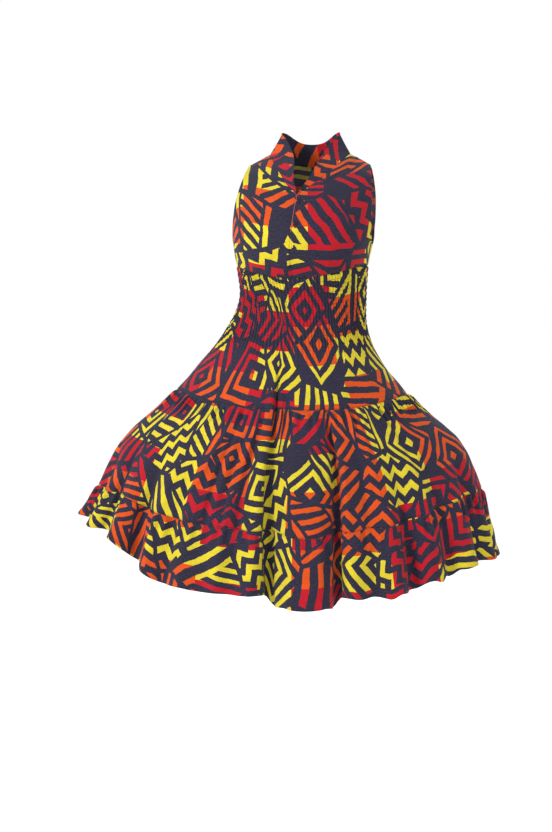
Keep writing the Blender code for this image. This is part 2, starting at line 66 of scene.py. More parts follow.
# The skirt by its drop: heights, half widths, depths, and the shape of its round
skirtTable = {
    "drop": [0.0, 0.062, 0.147, 0.210, 0.281, 0.450, 0.566, 0.722],
    "zFront": [-0.265, -0.328, -0.414, -0.477, -0.545, -0.698, -0.806, -0.948],
    "zBack": [-0.246, -0.312, -0.400, -0.466, -0.536, -0.692, -0.800, -0.942],
    "zLeft": [-0.233, -0.300, -0.382, -0.447, -0.512, -0.626, -0.722, -0.865],
    "zRight": [-0.233, -0.300, -0.382, -0.444, -0.503, -0.616, -0.714, -0.776],
    "halfLeft": [0.143, 0.138, 0.143, 0.174, 0.226, 0.348, 0.390, 0.430],
    "halfRight": [0.143, 0.138, 0.176, 0.227, 0.281, 0.404, 0.457, 0.500],
    "depthFront": [0.124, 0.110, 0.116, 0.138, 0.164, 0.200, 0.222, 0.252],
    "depthBack": [0.105, 0.096, 0.122, 0.156, 0.182, 0.214, 0.230, 0.256],
    "roundX": [0.87, 0.89, 0.94, 0.98, 1.0, 1.0, 1.0, 1.0],
    "pinch": [0.87, 0.89, 0.96, 1.04, 1.10, 1.28, 1.24, 1.16],
    "lift": [1.74, 1.80, 2.00, 2.20, 2.40, 2.20, 2.05, 2.65],
}

# Large folds: angle from the front, half width in degrees, depth, rise of the hem, first drop
skirtFolds = [
    (-9.0, 5.5, 0.046, 0.012, 0.150), (8.9, 5.2, 0.036, 0.010, 0.220),
    (-0.3, 13.0, -0.003, -0.011, 0.400), (52.0, 24.0, 0.0, 0.016, 0.450),
    (-18.0, 13.0, 0.0, 0.013, 0.450), (-57.0, 8.0, 0.0, 0.016, 0.450),
    (14.0, 8.0, 0.0, 0.006, 0.450), (20.0, 6.0, 0.014, 0.010, 0.320),
    (33.6, 6.0, 0.028, 0.006, 0.360), (48.0, 7.0, 0.020, 0.006, 0.400),
    (66.0, 8.0, 0.020, 0.003, 0.340), (-19.0, 5.0, 0.018, -0.002, 0.240),
    (-27.5, 6.0, 0.014, 0.0, 0.260), (-38.5, 5.5, 0.016, 0.0, 0.360),
    (-49.8, 6.0, 0.036, -0.004, 0.380), (-64.0, 7.0, 0.028, 0.010, 0.400),
    (-78.0, 6.5, 0.020, 0.0, 0.420), (101.0, 8.0, 0.022, 0.0, 0.360),
    (119.0, 8.0, 0.032, 0.006, 0.300), (136.0, 7.5, 0.028, 0.0, 0.240),
    (153.0, 8.0, 0.038, 0.008, 0.190), (171.0, 7.0, 0.032, 0.004, 0.170),
    (-173.0, 7.0, 0.034, 0.004, 0.180), (-156.0, 7.5, 0.036, 0.008, 0.210),
    (-138.0, 8.0, 0.028, 0.0, 0.260), (-120.0, 8.0, 0.032, 0.006, 0.310),
    (-102.0, 8.0, 0.022, 0.0, 0.380),
]

# The bodice in even steps from the under-bust seam up to the shoulder. Inner and outer are
# how far from the centre a panel starts and ends.
frontLevels = {
    "zCentre": [-0.265, -0.233, -0.195, -0.145, -0.093, -0.058, -0.024, 0.010, 0.0299],
    "zSide": [-0.233, -0.210, -0.187, -0.150, -0.110, -0.078, -0.052, -0.034, -0.018],
    "halfWidth": [0.143, 0.148, 0.152, 0.158, 0.163, 0.163, 0.162, 0.154, 0.140],
    "depth": [0.124, 0.137, 0.143, 0.138, 0.120, 0.097, 0.064, 0.027, 0.0],
    "inner": [0.0, 0.0, 0.0, 0.0, 0.0, 0.033, 0.060, 0.079, 0.089],
    "outer": [0.143, 0.148, 0.152, 0.151, 0.149, 0.145, 0.140, 0.136, 0.133],
}
backLevels = {
    "zCentre": [-0.246, -0.215, -0.187, -0.143, -0.098, -0.056, -0.017, 0.013, 0.0299],
    "zSide": [-0.233, -0.210, -0.187, -0.150, -0.110, -0.078, -0.054, -0.034, -0.018],
    "halfWidth": [0.143, 0.148, 0.152, 0.158, 0.163, 0.165, 0.165, 0.157, 0.140],
    "depth": [0.105, 0.110, 0.114, 0.117, 0.116, 0.104, 0.078, 0.038, 0.0],
    "inner": [0.0] * 9,
    "outer": [0.143, 0.148, 0.152, 0.151, 0.149, 0.145, 0.140, 0.136, 0.133],
}
neck = {"vShare": 0.5, "backShare": 0.78, "backScoop": 2.2}


def smoothRead(table, at):
    # a smooth curve through each column of a table, read at many keys
    names = list(table)
    keys = np.array(table[names[0]], float)
    at = np.clip(at, keys[0], keys[-1])
    span = np.clip(np.searchsorted(keys, at, side="right") - 1, 0, len(keys) - 2)
    width = keys[span + 1] - keys[span]
    t = (at - keys[span]) / width
    read = {}
    for name in names:
        values = np.array(table[name], float)
        slopes = np.gradient(values, keys)
        read[name] = (
            (2 * t**3 - 3 * t**2 + 1) * values[span]
            + (t**3 - 2 * t**2 + t) * width * slopes[span]
            + (3 * t**2 - 2 * t**3) * values[span + 1]
            + (t**3 - t**2) * width * slopes[span + 1]
        )
    return read


def ease(value, start, full):
    share = np.clip((value - start) / (full - start), 0.0, 1.0)
    return share * share * (3 - 2 * share)


def bump(distance, halfWidth):
    return 0.5 + 0.5 * np.cos(np.pi * np.clip(np.abs(distance) / halfWidth, 0.0, 1.0))


def signedPower(value, exponent):
    return np.sign(value) * np.abs(value) ** exponent


def unit(vectors):
    return vectors / np.maximum(np.linalg.norm(vectors, axis=-1, keepdims=True), 1e-9)


def posed(points):
    pose = smoothRead(poseTable, points[..., 2])
    turn = np.radians(-pose["turn"])
    x, y = points[..., 0], points[..., 1]
    middle = np.maximum(1 - (x / slideHalfWidth) ** 2, 0.0)
    x = x - pose["slide"] * middle * ease(-y, 0.0, slideDepth)
    worn = points.copy()
    worn[..., 0] = pose["lean"] + x * np.cos(turn) - y * np.sin(turn)
    worn[..., 1] = x * np.sin(turn) + y * np.cos(turn)
    return worn


def plainSkirt(drop, around):
    row = smoothRead(skirtTable, drop)
    sine, cosine = np.sin(np.radians(around)), np.cos(np.radians(around))
    half = np.where(sine > 0, row["halfLeft"], row["halfRight"])
    depth = np.where(cosine > 0, row["depthFront"], row["depthBack"])
    zCentre = np.where(cosine > 0, row["zFront"], row["zBack"])
    zSide = np.where(sine > 0, row["zLeft"], row["zRight"])
    x = half * signedPower(sine, row["roundX"])
    y = form["centreY"] - depth * signedPower(cosine, row["pinch"])
    z = zCentre + (zSide - zCentre) * np.abs(sine) ** row["lift"]
    return np.stack([x, y, z], axis=-1)


def skirtPoints(drop, around):
    run = plainSkirt(drop, around + 1.0) - plainSkirt(drop, around - 1.0)
    out = unit(np.stack([run[..., 1], -run[..., 0], np.zeros_like(drop)], axis=-1))
    points = plainSkirt(drop, around)
    inward, rise = np.zeros_like(drop), np.zeros_like(drop)
    for foldAround, halfWidth, depth, foldRise, start in skirtFolds:
        apart = (around - foldAround + 180.0) % 360.0 - 180.0
        grown = np.maximum((drop - start) / (form["hemDrop"] - start), 0.0) ** form["foldGrowth"]
        inward += depth * bump(apart, halfWidth) * grown
        rise += foldRise * bump(apart, halfWidth) * grown
    points = points - out * inward[..., None]
    points[..., 2] += rise
    return posed(points)


def torsoAngle(halfWidth, half):
    share = np.clip(np.maximum(half, 0.0) / halfWidth, 0.0, 1.0)
    return np.arcsin(share ** (1 / form["roundness"]))


def squareBodice(levels, facing, share, across, side=1.0):
    # share runs up from the under-bust seam, across from the centre or neckline to the arm
    table = {"share": np.linspace(0.0, 1.0, 9), **levels}
    row = smoothRead(table, share)
    inner = torsoAngle(row["halfWidth"], row["inner"])
    outer = torsoAngle(row["halfWidth"], row["outer"])
    angle = inner + (outer - inner) * across
    sine = signedPower(np.sin(angle), form["roundness"])
    cosine = signedPower(np.cos(angle), form["roundness"])
    x = side * row["halfWidth"] * sine
    y = form["centreY"] + facing * row["depth"] * cosine
    z = row["zCentre"] + (row["zSide"] - row["zCentre"]) * sine * sine
    return np.stack([x, y, z], axis=-1)


def bodicePoints(*place):
    return posed(squareBodice(*place))


# Relief: gathers, smocking, seams, hems and creases, all in metres off the form
def waves(around, counts, seed):
    # irregular gathers: a few wave counts that drift in and out of step
    rng = np.random.default_rng(seed)
    height = np.zeros_like(around)
    for count in counts:
        phase, strength = rng.uniform(0, 2 * np.pi), rng.uniform(0.6, 1.0)
        height += strength * np.cos(np.radians(around) * count + phase)
    return height / len(counts)


def lumps(points, size, seed):
    # slow unevenness of worn cloth, from sines in mixed directions
    rng = np.random.default_rng(seed)
    height = np.zeros(points.shape[:-1])
    sines = 7
    for _ in range(sines):
        direction = unit(rng.normal(size=3)) * 2 * np.pi / (size * rng.uniform(0.7, 1.5))
        height += np.sin(points @ direction + rng.uniform(0, 2 * np.pi))
    return height / sines


def creaseHeight(points, normals, creases, facing):
    # each crease is a soft ridge, or a trough where its height is below zero, between two
    # places of the front or back view, given as x, z, x, z, half width and height, and it
    # shows only on cloth that faces that view
    x, z = points[..., 0], points[..., 2]
    shown = ease(normals[..., 1] * facing, 0.05, 0.35)
    height = np.zeros_like(x)
    for x0, z0, x1, z1, halfWidth, ridge in creases:
        runX, runZ = x1 - x0, z1 - z0
        along = ((x - x0) * runX + (z - z0) * runZ) / (runX**2 + runZ**2)
        held = np.clip(along, 0.0, 1.0)
        apart = np.hypot(x - x0 - held * runX, z - z0 - held * runZ)
        taper = np.sin(np.pi * np.clip(along * 0.9 + 0.05, 0.0, 1.0)) ** 0.7
        height += ridge * taper * np.exp(-((apart / halfWidth) ** 2))
    return height * shown


# What a layer holds where its marks aren't wanted: no elastic, and far from any buttonhole
layerUnused = {"elastic": 0.0, "buttonholes": 0.1}


def addLayer(mesh, name, values):
    layer = mesh.uv_layers.get(name) or mesh.uv_layers.new(name=name)
    corners = np.empty(len(mesh.loops), dtype=np.int64)
    mesh.loops.foreach_get("vertex_index", corners)
    layer.data.foreach_set("uv", values[corners].astype(np.float32).ravel())


def gridNormals(points):
    across = np.gradient(points, axis=1)
    down = np.gradient(points, axis=0)
    return unit(np.cross(down, across))


def edgeDistances(points):
    # metres over the cloth from each point to the left, right, top and bottom edge
    stepAcross = np.linalg.norm(np.diff(points, axis=1), axis=-1)
    stepDown = np.linalg.norm(np.diff(points, axis=0), axis=-1)
    left = np.pad(np.cumsum(stepAcross, axis=1), ((0, 0), (1, 0)))
    top = np.pad(np.cumsum(stepDown, axis=0), ((1, 0), (0, 0)))
    return left, left[:, -1:] - left, top, top[-1:] - top


def dip(distance, look):
    # the valley that a seam pulls the cloth into
    return -look["seamDepth"] * np.exp(-((distance / look["seamWidth"]) ** 2))


def alongCloth(line):
    # metres from its first point to each point of a line
    return np.pad(np.cumsum(np.linalg.norm(np.diff(line, axis=0), axis=1)), (1, 0))


def nearestEdge(left, right, above, below, extra=None):
    # metres to the nearest stitched line, and metres along it, for the rows of stitches;
    # extra is one more upright line, inside the panel
    upright = np.minimum(left, right)
    if extra is not None:
        upright = np.minimum(upright, extra)
    level = np.minimum(above, below)
    return np.stack([np.minimum(upright, level), np.where(upright < level, above, left)], axis=-1)


def clothPanel(name, points, outward, relief, layers, materials, thickness=None, trimmed=None):
    # a grid, laid over the form, raised by its relief and given the thickness of cloth
    rows, columns = points.shape[0] - 1, points.shape[1] - 1
    bpy.ops.object.select_all(action="DESELECT")
    bpy.ops.mesh.primitive_grid_add(x_subdivisions=columns, y_subdivisions=rows, size=1)
    panel = bpy.context.object
    panel.name = name
    mesh = panel.data
    mesh.name = name
    flat = np.empty(len(mesh.vertices) * 3)
    mesh.vertices.foreach_get("co", flat)
    flat = flat.reshape(-1, 3)
    column = np.rint((flat[:, 0] + 0.5) * columns).astype(int)
    row = np.rint((0.5 - flat[:, 1]) * rows).astype(int)
    if trimmed is not None:
        middles = np.empty(len(mesh.polygons) * 3)
        mesh.polygons.foreach_get("center", middles)
        middles = middles.reshape(-1, 3)
        cellColumn = ((middles[:, 0] + 0.5) * columns).astype(int)
        cellRow = ((0.5 - middles[:, 1]) * rows).astype(int)
        mesh.polygons.foreach_set("material_index", trimmed[cellRow, cellColumn].astype(np.int32))
    placed = points + outward * relief[..., None]
    mesh.vertices.foreach_set("co", placed[row, column].ravel())
    for layer in ("print", "stitches", "elastic", "buttonholes"):
        values = layers.get(layer)
        if values is None:
            values = np.full(points.shape[:2] + (2,), layerUnused[layer])
        addLayer(mesh, layer, values[row, column])
    mesh.uv_layers.remove(mesh.uv_layers["UVMap"])
    mesh.update()
    normals = np.empty(len(mesh.vertices) * 3)
    mesh.vertices.foreach_get("normal", normals)
    if (normals.reshape(-1, 3) * outward[row, column]).sum() < 0:
        mesh.flip_normals()
    for material in materials:
        mesh.materials.append(material)
    wall = panel.modifiers.new("thickness", "SOLIDIFY")
    wall.thickness = thickness or form["clothThickness"]
    wall.offset = -1.0
    wall.material_offset = 1
    wall.material_offset_rim = 0
    bpy.ops.object.modifier_apply(modifier=wall.name)
    bpy.ops.object.shade_smooth()
    return panel


def dress(panel, nodes):
    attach(panel, "root")
    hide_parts(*nodes)
    print(panel.name, len(panel.data.polygons), "faces")


def toLinear(hexColour):
    channels = [int(hexColour[i:i + 2], 16) / 255 for i in (1, 3, 5)]
    linear = [c / 12.92 if c <= 0.04045 else ((c + 0.055) / 1.055) ** 2.4 for c in channels]
    return (*linear, 1.0)


def addNode(tree, kind, *values, sockets=None, result=0, **settings):
    # one node with its settings; each value is a number, a colour or another node's output
    node = tree.nodes.new("ShaderNode" + kind)
    for setting, value in settings.items():
        setattr(node, setting, value)
    for key, value in list(enumerate(values)) + list((sockets or {}).items()):
        if isinstance(value, bpy.types.NodeSocket):
            tree.links.new(value, node.inputs[key])
        elif value is not None:
            node.inputs[key].default_value = value
    return node.outputs[result]


def startMaterial(name, constants):
    # a new material, with what is the same all over it set on the shader's own sockets
    material = bpy.data.materials.new(name)
    material.use_nodes = True
    shader = material.node_tree.nodes["Principled BSDF"]
    for socket, value in constants.items():
        shader.inputs[socket].default_value = value
    return material, material.node_tree, shader


printLook = {
    "yellow": "#c2b128",
    "orange": "#bf4611",
    "red": "#a3111f",
    "patch": 0.125,            # metres across one patch of the design
    "period": 0.0265,          # a stroke and a gap
    "stroke": 0.45,            # the painted share of it, so strokes are 12 mm wide
    "patchGap": 0.0052,        # bare cloth left at the border of a patch
    "colourBlock": (0.150, 0.086),
    "blockStart": 0.31,
    "blockStagger": 0.37,      # of a block's height, from each column of blocks to the next
    "blockDraw": 3.7,          # another number deals the colours out in another way
    "orangeFrom": 0.35,        # a block is yellow below this chance
    "redFrom": 0.67,
}

# The motifs that fill the patches. Distances are in metres from the middle of a patch,
# and stripes are in periods of the print, with the share of a period that they start at.
motifLook = {
    "turns": 8.0,              # each patch is turned by some eighths of a round
    "firstTurn": 0.12,
    "chevronSlope": 0.9,
    "chevrons": (1.35, 0.0),
    "diamonds": (1.42, 0.25),
    "rails": (0.038, 0.050),   # two rails, and slanted bars between them
    "barReach": 0.030,
    "barSlope": 0.55,
    "bars": (1.0, 0.2),
    "rim": (0.054, 0.064),     # squares, one inside the other
    "ring": (0.030, 0.041),
    "heart": 0.010,
    "spine": (-0.012, 0.0),    # a comb: its back, slanted teeth above it and level bars below
    "toothSlope": 0.9,
    "teeth": (1.3, 0.3),
    "teethFrom": -0.001,
    "levels": (1.2, 0.55),
    "levelsTo": -0.022,
    "zigzagReach": 0.021,
    "zigzags": (1.55, 0.15),
    # a motif takes over from the one before it where a patch's chance is above this
    "shares": {"diamonds": 0.20, "railed": 0.38, "squares": 0.54, "combs": 0.72, "zigzags": 0.84},
}


def inBand(tree, value, low, high):
    # 1 where the value lies between low and high
    above = addNode(tree, "Math", value, low, operation="GREATER_THAN")
    below = addNode(tree, "Math", value, high, operation="LESS_THAN")
    return addNode(tree, "Math", above, below, operation="MULTIPLY")


def stripesOf(tree, value, stripes):
    periods, shift = stripes
    scale = 1 / (printLook["period"] * periods)
    scaled = addNode(tree, "Math", value, scale, shift, operation="MULTIPLY_ADD")
    share = addNode(tree, "Math", scaled, operation="FRACT")
    return addNode(tree, "Math", share, printLook["stroke"], operation="LESS_THAN")


def geometricPrint(tree, spot):
    # straight-sided patches, each filled with chevrons, nested diamonds or squares, railed bars,
    # combs or zigzags, and each turned its own way
    look = motifLook
    patches = {"Scale": 1 / printLook["patch"], "Randomness": 0.85}
    cell = addNode(tree, "TexVoronoi", spot, sockets=patches, voronoi_dimensions="2D").node
    border = addNode(tree, "TexVoronoi", spot, sockets=patches, voronoi_dimensions="2D",
                     feature="DISTANCE_TO_EDGE")
    chance = addNode(tree, "SeparateColor", cell.outputs["Color"])
    centred = addNode(tree, "VectorMath", spot, cell.outputs["Position"], operation="SUBTRACT")
    turn = addNode(tree, "Math", chance.node.outputs[1], look["turns"], operation="MULTIPLY")
    turn = addNode(tree, "Math", turn, operation="FLOOR")
    angle = addNode(tree, "Math", turn, 2 * math.pi / look["turns"], look["firstTurn"],
                    operation="MULTIPLY_ADD")
    turned = addNode(tree, "VectorRotate", centred, sockets={"Angle": angle}, rotation_type="Z_AXIS")
    parts = addNode(tree, "SeparateXYZ", turned).node
    x, y = parts.outputs[0], parts.outputs[1]
    absX = addNode(tree, "Math", x, operation="ABSOLUTE")
    absY = addNode(tree, "Math", y, operation="ABSOLUTE")
    farther = addNode(tree, "Math", absX, absY, operation="MAXIMUM")
    both = addNode(tree, "Math", absX, absY, operation="ADD")
    slope = addNode(tree, "Math", absX, look["chevronSlope"], y, operation="MULTIPLY_ADD")
    motif = stripesOf(tree, slope, look["chevrons"])
    designs = {"diamonds": stripesOf(tree, both, look["diamonds"])}
    rails = inBand(tree, absX, *look["rails"])
    slanted = addNode(tree, "Math", x, look["barSlope"], y, operation="MULTIPLY_ADD")
    bars = stripesOf(tree, slanted, look["bars"])
    near = addNode(tree, "Math", absX, look["barReach"], operation="LESS_THAN")
    bars = addNode(tree, "Math", bars, near, operation="MULTIPLY")
    designs["railed"] = addNode(tree, "Math", bars, rails, operation="MAXIMUM")
    ring = inBand(tree, farther, *look["ring"])
    heart = addNode(tree, "Math", farther, look["heart"], operation="LESS_THAN")
    rim = inBand(tree, farther, *look["rim"])
    squares = addNode(tree, "Math", ring, heart, operation="MAXIMUM")
    designs["squares"] = addNode(tree, "Math", squares, rim, operation="MAXIMUM")
    spine = inBand(tree, y, *look["spine"])
    slanted = addNode(tree, "Math", y, look["toothSlope"], x, operation="MULTIPLY_ADD")
    teeth = stripesOf(tree, slanted, look["teeth"])
    upper = addNode(tree, "Math", y, look["teethFrom"], operation="GREATER_THAN")
    teeth = addNode(tree, "Math", teeth, upper, operation="MULTIPLY")
    levels = stripesOf(tree, y, look["levels"])
    lower = addNode(tree, "Math", y, look["levelsTo"], operation="LESS_THAN")
    levels = addNode(tree, "Math", levels, lower, operation="MULTIPLY")
    combs = addNode(tree, "Math", spine, teeth, operation="MAXIMUM")
    designs["combs"] = addNode(tree, "Math", combs, levels, operation="MAXIMUM")
    folded = addNode(tree, "Math", x, look["zigzagReach"], operation="PINGPONG")
    folded = addNode(tree, "Math", folded, y, operation="ADD")
    designs["zigzags"] = stripesOf(tree, folded, look["zigzags"])
    for design, limit in look["shares"].items():
        later = addNode(tree, "Math", chance, limit, operation="GREATER_THAN")
        motif = addNode(tree, "Mix", sockets={0: later, 2: motif, 3: designs[design]})
    gap = printLook["patchGap"] / printLook["patch"]
    inside = addNode(tree, "Math", border, gap, operation="GREATER_THAN")
    return addNode(tree, "Math", motif, inside, operation="MULTIPLY")


def blockColour(tree, spot):
    # yellow, orange or red, changing straight across the strokes at block borders
    look = printLook
    wide, high = look["colourBlock"]
    parts = addNode(tree, "SeparateXYZ", spot)
    u = addNode(tree, "Math", parts, 1 / wide, look["blockStart"], operation="MULTIPLY_ADD")
    u = addNode(tree, "Math", u, operation="FLOOR")
    stagger = addNode(tree, "Math", u, look["blockStagger"], operation="MULTIPLY")
    v = addNode(tree, "Math", parts.node.outputs[1], 1 / high, stagger, operation="MULTIPLY_ADD")
    v = addNode(tree, "Math", v, operation="FLOOR")
    block = addNode(tree, "CombineXYZ", u, v, look["blockDraw"])
    chance = addNode(tree, "TexWhiteNoise", block, noise_dimensions="3D")
    ramp = addNode(tree, "ValToRGB", chance)
    steps = ramp.node.color_ramp
    steps.interpolation = "CONSTANT"
    steps.elements[0].color = toLinear(look["yellow"])
    steps.elements[1].position = look["orangeFrom"]
    steps.elements[1].color = toLinear(look["orange"])
    steps.elements.new(look["redFrom"]).color = toLinear(look["red"])
    return ramp


sewnLook = {
    "thread": "#17161f",
    "stitchInset": 0.0022,     # rows of stitches run this far inside an edge
    "stitchWide": 0.00045,
    "stitchLong": 0.0030,      # one stitch and the gap to the next
    "stitchShown": 0.74,       # the share of it that is thread
    "elasticWide": 0.022,      # half an elastic's width, as a share of the rows' pitch
    "buttonholeHalf": (0.0015, 0.0080),
}


def markedThreads(tree):
    # 1 on a sewing thread: rows of stitches, rows of elastic, and the bars of buttonholes
    look = sewnLook
    edge = addNode(tree, "SeparateXYZ", addNode(tree, "UVMap", uv_map="stitches"))
    half = look["stitchWide"] / 2
    row = inBand(tree, edge, look["stitchInset"] - half, look["stitchInset"] + half)
    along = addNode(tree, "Math", edge.node.outputs[1], 1 / look["stitchLong"], operation="MULTIPLY")
    along = addNode(tree, "Math", along, operation="FRACT")
    dash = addNode(tree, "Math", along, look["stitchShown"], operation="LESS_THAN")
    stitches = addNode(tree, "Math", row, dash, operation="MULTIPLY")
    band = addNode(tree, "SeparateXYZ", addNode(tree, "UVMap", uv_map="elastic"))
    near = addNode(tree, "Math", band, 0.5, operation="PINGPONG")
    near = addNode(tree, "Math", near, look["elasticWide"], operation="LESS_THAN")
    elastic = addNode(tree, "Math", near, band.node.outputs[1], operation="MULTIPLY")
    hole = addNode(tree, "SeparateXYZ", addNode(tree, "UVMap", uv_map="buttonholes"))
    halfWide, halfLong = look["buttonholeHalf"]
    across = addNode(tree, "Math", hole, operation="ABSOLUTE")
    down = addNode(tree, "Math", hole.node.outputs[1], operation="ABSOLUTE")
    across = addNode(tree, "Math", across, halfWide, operation="LESS_THAN")
    down = addNode(tree, "Math", down, halfLong, operation="LESS_THAN")
    bar = addNode(tree, "Math", across, down, operation="MULTIPLY")
    marked = addNode(tree, "Math", stitches, elastic, operation="MAXIMUM")
    return addNode(tree, "Math", marked, bar, operation="MAXIMUM")


cottonLook = {
    "shader": {"Metallic": 0.0, "IOR": 1.46, "Specular IOR Level": 0.16, "Sheen Weight": 0.05,
               "Sheen Roughness": 0.45},
    "ground": ("#1f1d2b", "#2d2b3d"),   # charcoal navy, deeper and paler yarns
    "insideFade": 0.42,        # the print shows paler on the wrong side
    "insideTint": "#55505c",
    "handDrawn": ((12.0, 0.016), (85.0, 0.0030)),   # strokes bend slowly, and their edges wobble
    "yarn": 0.0009,            # yarns lie 0.4 mm apart, drawn at 0.9 mm so that they show
    "specks": (620.0, 240.0, 1.0),      # upright, about 3 mm long, dyed darker or paler
    "slubs": (900.0, 90.0, 1.0),        # thicker stretches of yarn
    "slubStrength": 0.8,
    "unevenDye": 25.0,         # dye that took unevenly, over about 40 mm
    "dyeShades": (0.90, 1.07),
    "weaveShades": (0.76, 1.16),
    "speckShades": (0.84, 1.09),
    "rubbedReach": 0.0035,     # edges and seams are rubbed a little paler by wear and washing
    "rubbedShade": 1.16,
    "roughness": (0.78, 0.90),
    "threadSink": -1.6,        # beside a yarn's height
    "bump": {"Strength": 0.5, "Distance": 0.0003},
}


# Printed cotton, plain weave: matt, finely grained, with a faint nap that catches light at
# the edges of folds. The dark ground is slightly uneven and the print sits in the yarns.
def printedCotton(name, fade):
    look = cottonLook
    material, tree, shader = startMaterial(name, look["shader"])
    spot = addNode(tree, "UVMap", uv_map="print")
    loose = spot
    for scale, reach in look["handDrawn"]:
        drift = addNode(tree, "TexNoise", spot, sockets={"Scale": scale, "Detail": 1.0}, result=1)
        drift = addNode(tree, "VectorMath", drift, (0.5, 0.5, 0.5), operation="SUBTRACT")
        drift = addNode(tree, "VectorMath", drift, (reach, reach, 0.0), operation="MULTIPLY")
        loose = addNode(tree, "VectorMath", loose, drift, operation="ADD")
    painted = geometricPrint(tree, loose)
    blocks = blockColour(tree, spot)
    specks = addNode(tree, "Mapping", spot, sockets={"Scale": look["specks"]})
    specks = addNode(tree, "TexNoise", specks, sockets={"Scale": 1.0, "Detail": 2.0})
    dyed = addNode(tree, "MapRange", specks, 0.40, 0.62, 0.0, 1.0)
    deeper, paler = [toLinear(colour) for colour in look["ground"]]
    ground = addNode(tree, "Mix", data_type="RGBA", result=2,
                     sockets={0: dyed, 6: deeper, 7: paler})
    cloth = addNode(tree, "Mix", data_type="RGBA", result=2,
                    sockets={0: painted, 6: ground, 7: blocks})
    if fade:
        cloth = addNode(tree, "Mix", data_type="RGBA", result=2,
                        sockets={0: look["insideFade"], 6: cloth, 7: toLinear(look["insideTint"])})
    # warp and weft as two sine gratings, and uneven yarns over them
    waveScale = 2 * math.pi / look["yarn"]
    parts = addNode(tree, "SeparateXYZ", spot)
    warp = addNode(tree, "Math", parts, waveScale, operation="MULTIPLY")
    warp = addNode(tree, "Math", warp, operation="SINE")
    weft = addNode(tree, "Math", parts.node.outputs[1], waveScale, operation="MULTIPLY")
    weft = addNode(tree, "Math", weft, operation="SINE")
    weave = addNode(tree, "Math", warp, weft, operation="MULTIPLY")
    slub = addNode(tree, "Mapping", spot, sockets={"Scale": look["slubs"]})
    slub = addNode(tree, "TexNoise", slub, sockets={"Scale": 1.0, "Detail": 2.0})
    weave = addNode(tree, "Math", slub, look["slubStrength"], weave, operation="MULTIPLY_ADD")
    # the shade varies with the dye, the weave, the specks and the rubbed edges
    uneven = addNode(tree, "TexNoise", spot, sockets={"Scale": look["unevenDye"], "Detail": 3.0})
    value = addNode(tree, "MapRange", uneven, 0.3, 0.7, *look["dyeShades"])
    grain = addNode(tree, "MapRange", weave, -1.0, 1.6, *look["weaveShades"])
    value = addNode(tree, "Math", value, grain, operation="MULTIPLY")
    speckled = addNode(tree, "MapRange", specks, 0.35, 0.65, *look["speckShades"])
    value = addNode(tree, "Math", value, speckled, operation="MULTIPLY")
    edge = addNode(tree, "SeparateXYZ", addNode(tree, "UVMap", uv_map="stitches"))
    rubbed = addNode(tree, "MapRange", edge, 0.0, look["rubbedReach"], look["rubbedShade"], 1.0)
    value = addNode(tree, "Math", value, rubbed, operation="MULTIPLY")
    cloth = addNode(tree, "HueSaturation", sockets={"Value": value, "Color": cloth})
    sewn = markedThreads(tree)
    cloth = addNode(tree, "Mix", data_type="RGBA", result=2,
                    sockets={0: sewn, 6: cloth, 7: toLinear(sewnLook["thread"])})
    tree.links.new(cloth, shader.inputs["Base Color"])
    rough = addNode(tree, "MapRange", uneven, 0.3, 0.7, *look["roughness"])
    tree.links.new(rough, shader.inputs["Roughness"])
    height = addNode(tree, "Math", sewn, look["threadSink"], weave, operation="MULTIPLY_ADD")
    raised = addNode(tree, "Bump", sockets={**look["bump"], "Height": height})
    tree.links.new(raised, shader.inputs["Normal"])
    return material


outerCotton = printedCotton("printedPlainWeaveCotton", False)
innerCotton = printedCotton("wrongSideOfPrintedCotton", True)
clothMaterials = [outerCotton, innerCotton]


foldLook = {
    "shader": {"Roughness": 0.86, "Specular IOR Level": 0.16},
    "colours": ("#86303a", "#9c5552"),
    "patchesPerMetre": 260.0,
}


# The same cotton seen on its fold: a rubbed red, so that the opening's edge shows as a line.
def foldedEdgeCotton():
    material, tree, shader = startMaterial("foldedEdgeOfCotton", foldLook["shader"])
    spot = addNode(tree, "UVMap", uv_map="print")
    rubbed = addNode(tree, "TexNoise", spot,
                     sockets={"Scale": foldLook["patchesPerMetre"], "Detail": 2.0})
    red, paler = [toLinear(colour) for colour in foldLook["colours"]]
    colour = addNode(tree, "Mix", data_type="RGBA", result=2, sockets={0: rubbed, 6: red, 7: paler})
    tree.links.new(colour, shader.inputs["Base Color"])
    return material


edgeCotton = foldedEdgeCotton()
print("cloth materials made")

skirtLook = {
    "columns": 440,             # of each half tier's grid, whose rows lie 3 to 4 mm apart
    "ribs": 66,                 # gathers round half the waist
    "ribHeight": {"front": 0.0015, "back": 0.0019},
    "ribRoundness": 0.8,
    "ribDrift": 0.35,           # each row's ribs lie a little beside the next one's, in radians
    "ribFade": 0.075,           # how far they run out below the last elastic
    "sewnFlat": 0.003,          # and below the under-bust seam
    "elasticPitch": 0.0124,     # between rows of elastic
    "elasticHold": 0.30,        # what is left of a rib's height at an elastic
    "elasticSwell": 0.0006,
    "gatherHeights": (0.0085, 0.0080),
    "gatherCounts": (62, 83, 97, 118),      # of waves in the whole round
    "gatherReach": 0.070,
    "reachCounts": (7, 11, 17),
    "reachVaries": 0.45,
    "foldGrows": 0.16,          # drop over which a narrow fold comes in
    "foldEnds": 0.08,
    "lumpHeight": 0.0018,
    "lumpSize": 0.060,
    "lumpDrops": (0.10, 0.30),
    "seamWidth": 0.0016,
    "seamDepth": 0.0013,
    "tuckUp": 0.0012,           # of the top edge, inside the bodice
    "tuckIn": 0.0008,
    "hemDepth": 0.012,
    "hemHeight": 0.0005,
    "hemStitches": 0.85,        # their place, as a share of the hem's depth
    "printDown": 1.03,          # metres of print to a metre of drop
}

